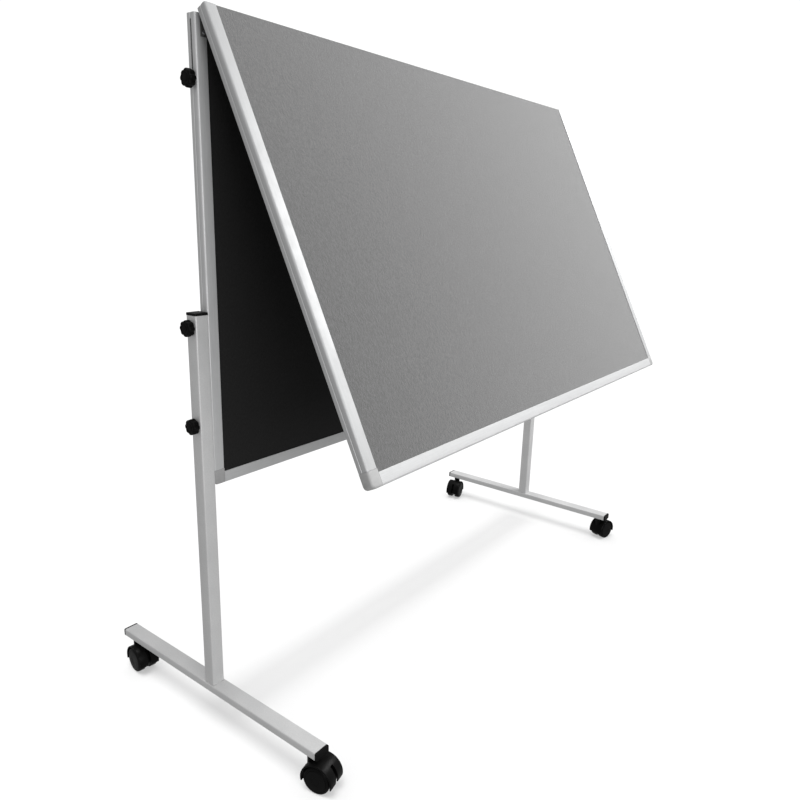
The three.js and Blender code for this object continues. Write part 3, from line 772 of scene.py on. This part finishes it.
def make_knobs():
    body = knob_body()
    for word, side in SIDES.items():
        for level in ("upper", "lower"):
            node = f"clamp_knob_{level}_{word}"
            low, high = box_mm(node)
            middle = (low + high) / 2
            length = high.x - low.x
            # drawn for the +X side: the stud's tip at x = 0
            grip = body.copy()
            grip.transform(Matrix.Translation((length - KNOB_THICKNESS, 0, 0)))
            hub_start = length - KNOB_THICKNESS - HUB_HEIGHT
            hub = rod("x", HUB_RADIUS, (hub_start, 0, 0), HUB_HEIGHT + 1, 48)
            stud = rod("x", CLAMP_STUD_RADIUS, (0, 0, 0), hub_start + 1)
            whole = for_side(side, join(grip, hub, stud))
            tip = low.x if side > 0 else high.x
            make_piece(f"clamp_grip_{level}_{word}", whole,
                       Matrix.Translation((tip, middle.y, middle.z)), node, "black_plastic",
                       [node])
        node = f"lock_knob_{word}"
        low, high = box_mm(node)
        middle = (low + high) / 2
        depth = KNOB_THICKNESS - 3 + PLAY
        bored = cut(body, rod("x", LOCK_STUD_RADIUS + PLAY, (-1, 0, 0), depth + 1))
        foot = low.x if side > 0 else high.x
        make_piece(f"lock_grip_{word}", for_side(side, bored),
                   Matrix.Translation((foot, middle.y, middle.z)), node, "black_plastic",
                   [node])


# ------------------------------------------------------------------ hinge screws
def hinge_screw():
    """Flat-topped cross-recessed screw head, its underside at z = 0."""
    head = lathe([(2.7, 0.0), (2.7, 0.18), (2.4, 0.42), (1.7, 0.62), (0.8, 0.7), (0.1, 0.7)], 40)
    reach, half_width = 1.4, 0.28
    low, high = 0.3, 1.2
    first = block((-reach, -half_width, low), (reach, half_width, high))
    second = block((-half_width, -reach, low), (half_width, reach, high))
    return cut(head, first, second)


def make_hinge_screws():
    screw = hinge_screw()
    drops_and_turns = ((13.0, 20.0), (27.0, 65.0))      # below the axis, turn of the recess
    for word in SIDES:
        low, high = box_mm(f"hinge_leaf_lower_{word}")
        x = (low.x + high.x) / 2 - CENTRE_X
        heads = []
        for drop, turn in drops_and_turns:
            copy = screw.copy()
            spin = Matrix.Rotation(math.pi / 2, 4, "X") @ Matrix.Rotation(math.radians(turn), 4, "Z")
            copy.transform(Matrix.Translation((x, LEAF_FACE, -drop)) @ spin)
            heads.append(copy)
        pair = join(*heads)
        place = Matrix.Translation((CENTRE_X, HINGE_PLACE.y, HINGE_PLACE.z))
        make_piece(f"hinge_screws_lower_{word}", pair, place, "stand", "zinc")
        upper = pair.copy()
        upper.transform(Matrix.Scale(-1, 4, (0, 1, 0)))
        upper.flip_normals()
        make_piece(f"hinge_screws_upper_{word}", upper, place @ Matrix.Rotation(-OPEN_ANGLE, 4, "X"),
                   "front_board", "zinc")


# ------------------------------------------------------------------ castors
# A castor is drawn with its swivel axis on Z and its wheels towards +X; the axle runs along Y.
def castor_stem(foot_bottom, top):
    """Pin in the hood, collar, flange under the foot and shank in the foot, turned about Z."""
    pin_top = HOOD_TOP + PLAY
    flange_top = foot_bottom - PLAY
    flange_low = flange_top - FLANGE_HEIGHT
    return lathe([
        (STEM_PIN_RADIUS - 0.5, STEM_PIN_LOW), (STEM_PIN_RADIUS, STEM_PIN_LOW + 0.5),
        (STEM_PIN_RADIUS, pin_top), (STEM_RADIUS, pin_top), (STEM_RADIUS, flange_low),
        (FLANGE_RADIUS - 0.6, flange_low), (FLANGE_RADIUS, flange_low + 0.5),
        (FLANGE_RADIUS, flange_top - 0.5), (FLANGE_RADIUS - 0.5, flange_top),
        (STEM_RADIUS, flange_top), (STEM_RADIUS, top - 0.8), (STEM_RADIUS - 0.8, top),
    ])


def ring_slice(outer, inner, start, end, width, steps):
    """Part of a ring about the axle as a solid across the axle, its edges not yet rounded."""
    outline = arc((0, 0), outer, start, end, steps)
    outline += list(reversed(arc((0, 0), inner, start, end, steps)))
    mesh = prism(outline, width)
    to_axle = Matrix.Translation((CASTOR_TRAIL, width / 2, WHEEL_RADIUS))
    mesh.transform(to_axle @ Matrix.Rotation(math.pi / 2, 4, "X"))
    return mesh


def castor_hood():
    """Mudguard with a parted lower end, middle wall and boss for the stem, bored for both pins."""
    width = WEB_WIDTH + 2 * (WHEEL_GAP + WHEEL_WIDTH)
    inside = HOOD_RADIUS - HOOD_WALL
    fender = ring_slice(HOOD_RADIUS, inside, HOOD_LOW, HOOD_END, width, 56)
    fender = soften(fender, 1.1, 3, sharper_than=50.0)
    web_outline = arc((0, 0), inside + 1.2, WEB_LOW, HOOD_END, 50)
    web_outline += arc((0, 0), WEB_RADIUS, HOOD_END, 360 + WEB_LOW, 30)
    web = prism(web_outline, WEB_WIDTH)
    to_axle = Matrix.Translation((CASTOR_TRAIL, WEB_WIDTH / 2, WHEEL_RADIUS))
    web.transform(to_axle @ Matrix.Rotation(math.pi / 2, 4, "X"))
    shoulder = 0.8
    boss = lathe([
        (BOSS_RADIUS, BOSS_LOW), (BOSS_RADIUS, HOOD_TOP - shoulder), (BOSS_RADIUS - shoulder, HOOD_TOP),
    ])
    room = rod("y", inside - 0.2, (CASTOR_TRAIL, -width, WHEEL_RADIUS), 2 * width, 96)
    boss = cut(boss, room)
    slot = ring_slice(HOOD_RADIUS + 1, HOOD_RADIUS - 6, HOOD_LOW - 10, HOOD_SLOT_TOP, HOOD_SLOT, 24)
    slot = soften(slot, 1.5, 3, keep=lambda edge: max(v.co.z for v in edge.verts) > 45)
    hole_low = STEM_PIN_LOW - 1
    pin_hole = rod("z", STEM_PIN_RADIUS + PLAY, (0, 0, hole_low), HOOD_TOP - hole_low + 1)
    axle_hole = rod("y", AXLE_RADIUS + PLAY, (CASTOR_TRAIL, -WEB_WIDTH, WHEEL_RADIUS), 2 * WEB_WIDTH)
    return cut(join(fender, web, boss), slot, pin_hole, axle_hole)


def castor_wheel():
    """Twin-wheel half about Z: tread, face ring and hub disc, inner side at z = 0, blind bore."""
    bore = AXLE_RADIUS + PLAY
    w = WHEEL_WIDTH
    profile = [
        (0.5, w - 2), (bore, w - 2), (bore, 0.0), (WHEEL_RADIUS - 1.4, 0.0), (WHEEL_RADIUS - 0.4, 0.4),
        (WHEEL_RADIUS, 1.4), (WHEEL_RADIUS, w - 3.4), (WHEEL_RADIUS - 0.5, w - 2.0),
        (WHEEL_RADIUS - 1.8, w - 0.9), (WHEEL_RADIUS - 3.6, w - 0.35), (WHEEL_RADIUS - 4.6, w - 0.3),
        (WHEEL_RADIUS - 4.9, w - 0.9), (WHEEL_RADIUS - 5.4, w - 0.9), (WHEEL_RADIUS - 5.7, w - 0.2),
        (14.0, w), (8.0, w), (7.7, w - 0.3), (0.5, w - 0.3),
    ]
    return lathe(profile, 88)


def make_castors():
    hood = castor_hood()
    wheel = castor_wheel()
    wheel_start = WEB_WIDTH / 2 + WHEEL_GAP
    axle_half = wheel_start + WHEEL_WIDTH - 2.5
    axle = lathe([(AXLE_RADIUS - 0.5, -axle_half), (AXLE_RADIUS, -axle_half + 0.5),
                  (AXLE_RADIUS, axle_half - 0.5), (AXLE_RADIUS - 0.5, axle_half)])
    for end in ("front", "rear"):
        for word in SIDES:
            name = f"{end}_{word}"
            body = f"castor_{name}"
            swivel = Vector(joint_named(f"{body}_swivel")["pos_m"]) / MM
            axle_middle = middle_mm(f"castor_axle_{name}")
            heading = math.atan2(axle_middle.y - swivel.y, axle_middle.x - swivel.x)
            place = Matrix.Translation((swivel.x, swivel.y, 0)) @ Matrix.Rotation(heading, 4, "Z")
            foot_bottom = box_mm(f"foot_tube_{word}")[1].z - FOOT_HEIGHT
            top = box_mm(f"castor_stem_{name}")[1].z
            stem = castor_stem(foot_bottom, top)
            make_piece(f"stem_{name}", stem, place, "stand", "zinc",
                       [f"castor_stem_{name}"])
            make_piece(f"hood_{name}", hood, place, body, "castor_plastic",
                       [f"castor_hood_{name}"])
            to_axle = place @ Matrix.Translation((CASTOR_TRAIL, 0, WHEEL_RADIUS))
            make_piece(f"axle_{name}", axle, to_axle @ Matrix.Rotation(-math.pi / 2, 4, "X"), body,
                       "zinc", [f"castor_axle_{name}"])
            for letter, turn in (("a", -math.pi / 2), ("b", math.pi / 2)):
                face = wheel_start if letter == "a" else -wheel_start
                seat = to_axle @ Matrix.Translation((0, face, 0)) @ Matrix.Rotation(turn, 4, "X")
                make_piece(f"wheel_{letter}_of_{name}", wheel, seat, f"wheel_{letter}_{name}",
                           "castor_plastic", [f"castor_wheel_{letter}_{name}"])


make_frames()
make_stands()
make_knobs()
make_hinge_screws()
make_castors()


# ------------------------------------------------------------------ camera, floor and light
# the camera's place from the floor point below the middle of the rear board
CAMERA_OFFSET = Vector((-1.3118, -0.9496, 0.9333))
CAMERA_AZIMUTH = math.radians(52.82)     # view direction, from +Y towards +X
CAMERA_PITCH = math.radians(14.88)       # downwards
CAMERA_ROLL = math.radians(1.58)
CAMERA_LENS = 31.37
SENSOR = 36.0


def make_camera():
    level = Vector((math.sin(CAMERA_AZIMUTH), math.cos(CAMERA_AZIMUTH), 0))
    forward = level * math.cos(CAMERA_PITCH) - Vector((0, 0, math.sin(CAMERA_PITCH)))
    right = forward.cross(Vector((0, 0, 1))).normalized()
    up = right.cross(forward)
    basis = Matrix((right, up, -forward)).transposed() @ Matrix.Rotation(CAMERA_ROLL, 3, "Z")
    data = bpy.data.cameras.new("camera")
    data.lens = CAMERA_LENS
    data.sensor_width = SENSOR
    camera = bpy.data.objects.new("camera", data)
    place = CAMERA_OFFSET + Vector((CENTRE_X, PANEL_Y, 0)) * MM
    camera.matrix_world = Matrix.Translation(place) @ basis.to_4x4()
    bpy.context.scene.collection.objects.link(camera)
    bpy.context.scene.camera = camera


def make_floor():
    """Pale seamless floor that throws no light back onto the object."""
    bpy.ops.mesh.primitive_plane_add(size=40)
    floor = bpy.context.object
    floor.name = "floor"
    graph = Graph("pale_floor", Roughness=0.8, Specular_IOR_Level=0.0)
    cloudy = graph.noise(graph.place(), 3.0, detail=2.0)
    graph.drive("Base Color", graph.mix(graph.span(cloudy, 0, 1), grey(0.86), grey(0.87)))
    floor.data.materials.append(graph.material)
    floor.visible_diffuse = False
    floor.visible_glossy = False
    return floor


def make_lamp(name, kind, place, towards, **settings):
    data = bpy.data.lights.new(name, kind)
    for key, value in settings.items():
        setattr(data, key, value)
    light = bpy.data.objects.new(name, data)
    light.location = place
    light.rotation_euler = Vector(towards).to_track_quat("-Z", "Y").to_euler()
    light.visible_camera = False
    bpy.context.scene.collection.objects.link(light)
    return light


def softbox(name, place, target, size, power):
    towards = Vector(target) - Vector(place)
    return make_lamp(name, "AREA", place, towards, shape="SQUARE", size=size, energy=power)


def light_group(name, objects, state):
    """A collection for light linking: "INCLUDE" for these objects only, "EXCLUDE" for all others."""
    collection = bpy.data.collections.new(name)
    for thing in objects:
        collection.objects.link(thing)
    for entry in collection.collection_objects:
        entry.light_linking.link_state = state
    return collection


def make_sun(name, towards, degrees, power, receivers, blockers):
    sun = make_lamp(name, "SUN", (0, 0, 3), towards, energy=power, angle=math.radians(degrees))
    sun.light_linking.receiver_collection = receivers
    sun.light_linking.blocker_collection = blockers


def make_world(seen, lit):
    """Even white surround: one strength for the eye, a weaker one for the light it gives."""
    world = bpy.data.worlds.new("studio")
    world.use_nodes = True
    tree = world.node_tree
    backdrop = tree.nodes["Background"]
    dome = tree.nodes.new("ShaderNodeBackground")
    for background, strength in ((backdrop, seen), (dome, lit)):
        background.inputs["Color"].default_value = (1, 1, 1, 1)
        background.inputs["Strength"].default_value = strength
    paths = tree.nodes.new("ShaderNodeLightPath")
    choose = tree.nodes.new("ShaderNodeMixShader")
    tree.links.new(paths.outputs["Is Camera Ray"], choose.inputs[0])
    tree.links.new(dome.outputs[0], choose.inputs[1])
    tree.links.new(backdrop.outputs[0], choose.inputs[2])
    tree.links.new(choose.outputs[0], tree.nodes["World Output"].inputs["Surface"])
    bpy.context.scene.world = world


# name, place, target, size, power in watts
SOFTBOXES = (
    ("left_front_softbox", (-1.2, -1.9, 1.0), (-0.5, -0.3, 0.8), 1.3, 26.0),
    ("rear_softbox", (0.4, 2.4, 0.7), (0.0, 0.1, 0.75), 1.3, 27.0),
    ("upper_right_softbox", (1.3, -1.1, 2.0), (0.3, -0.2, 1.0), 1.0, 48.0),
)


def make_light(floor):
    """Three softboxes and a sun for the object, and two suns that leave soft marks on the floor.

    The tilted board would lay a wide grey patch over the floor, so every sun passes it.
    """
    bpy.context.scene.view_settings.view_transform = "Standard"
    make_world(seen=1.05, lit=0.49)
    front, rear = front_board_pieces(), rear_board_pieces()
    floor_only = light_group("floor_only", [floor], "INCLUDE")
    not_floor = light_group("not_floor", [floor], "EXCLUDE")
    not_front = light_group("not_front_board", front, "EXCLUDE")
    rear_only = light_group("rear_board_only", rear, "INCLUDE")
    no_boards = light_group("no_boards", front + rear, "EXCLUDE")
    make_sun("overhead_sun", (0, 0.03, -1), 17, 1.15, not_floor, not_front)
    make_sun("board_mark_sun", (0, 0, -1), 8, 1.45, floor_only, rear_only)
    make_sun("stand_mark_sun", (0.18, 0, -1), 30, 1.02, floor_only, no_boards)
    for row in SOFTBOXES:
        light = softbox(*row)
        light.light_linking.receiver_collection = not_floor
        light.visible_glossy = light.name != "rear_softbox"     # no glare on the feet's tops


make_camera()
make_light(make_floor())
